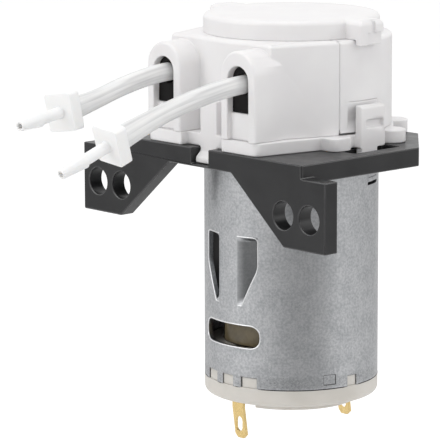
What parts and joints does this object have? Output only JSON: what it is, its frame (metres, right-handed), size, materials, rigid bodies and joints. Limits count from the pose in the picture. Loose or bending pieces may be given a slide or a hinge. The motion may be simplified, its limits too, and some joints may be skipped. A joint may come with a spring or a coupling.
{
  "type": "peristaltic dosing pump",
  "caption": "Small peristaltic dosing pump: a white roller head with two hose ports on a black eared bracket, over a round steel brushed motor.",
  "frame": {"origin": "middle of the outer pair of screw holes in the bracket's ears, on the ears' front face", "axes": "+Z along the motor's axis from the terminals to the lid, -Y out of the ears' front face and along the hoses, +X to the outlet hose"},
  "size_m": [0.0554, 0.0716, 0.0669],
  "materials": {
    "black_plastic": "fine matt moulded",
    "white_plastic": "satin moulded",
    "natural_plastic": "milky moulded",
    "silicone": "milky translucent",
    "steel": "galvanised",
    "plated_steel": "bright plated",
    "ferrite": "dull",
    "bronze": "sintered",
    "brass": "bright",
    "carbon": "dull",
    "copper": "enamelled"
  },
  "bodies": {
    "pump": {"mounting_bracket": "black_plastic", "head_base": "white_plastic", "port_housing": "white_plastic", "rear_housing": "white_plastic", "tube_clamp_inlet": "black_plastic", "tube_clamp_outlet": "black_plastic", "pump_tube": "silicone", "inlet_hose": "silicone", "outlet_hose": "silicone", "inlet_fitting": "natural_plastic", "outlet_fitting": "natural_plastic", "motor_can": "steel", "motor_end_cap": "natural_plastic", "magnet_left": "ferrite", "magnet_right": "ferrite", "front_bearing": "bronze", "rear_bearing": "bronze", "terminal_front": "brass", "terminal_rear": "brass", "brush_arm_front": "brass", "brush_arm_rear": "brass", "brush_front": "carbon", "brush_rear": "carbon", "motor_screws": "plated_steel"},
    "armature": {"motor_shaft": "plated_steel", "rotor_core": "steel", "windings": "copper", "commutator": "copper", "drive_sleeve": "black_plastic"},
    "carrier": {"carrier_lower": "black_plastic", "carrier_upper": "black_plastic", "roller_pins": "plated_steel"},
    "roller_a": {"roller_1": "white_plastic"},
    "roller_b": {"roller_2": "white_plastic"},
    "roller_c": {"roller_3": "white_plastic"},
    "lid": {"top_lid": "white_plastic"}
  },
  "joints": [
    {"name": "shaft_spin", "type": "hinge", "parent": "pump", "child": "armature", "pos_m": [0, 0.01965, 0], "axis": [0, 0, 1], "continuous": true},
    {"name": "carrier_spin", "type": "hinge", "parent": "pump", "child": "carrier", "pos_m": [0, 0.01965, 0.015], "axis": [0, 0, 1], "continuous": true},
    {"name": "roller_1_spin", "type": "hinge", "parent": "carrier", "child": "roller_a", "pos_m": [0.0054, 0.01965, 0.0185], "axis": [0, 0, 1], "continuous": true},
    {"name": "roller_2_spin", "type": "hinge", "parent": "carrier", "child": "roller_b", "pos_m": [-0.0027, 0.02433, 0.0185], "axis": [0, 0, 1], "continuous": true},
    {"name": "roller_3_spin", "type": "hinge", "parent": "carrier", "child": "roller_c", "pos_m": [-0.0027, 0.01497, 0.0185], "axis": [0, 0, 1], "continuous": true},
    {"name": "lid_lift", "type": "slide", "parent": "pump", "child": "lid", "axis": [0, 0, 1], "range_m": [0, 0.014]}
  ],
  "couplings": [
    {"joint": "carrier_spin", "follows": "shaft_spin", "ratio": 0.215},
    {"joint": "roller_1_spin", "follows": "shaft_spin", "ratio": -0.602},
    {"joint": "roller_2_spin", "follows": "shaft_spin", "ratio": -0.602},
    {"joint": "roller_3_spin", "follows": "shaft_spin", "ratio": -0.602}
  ]
}
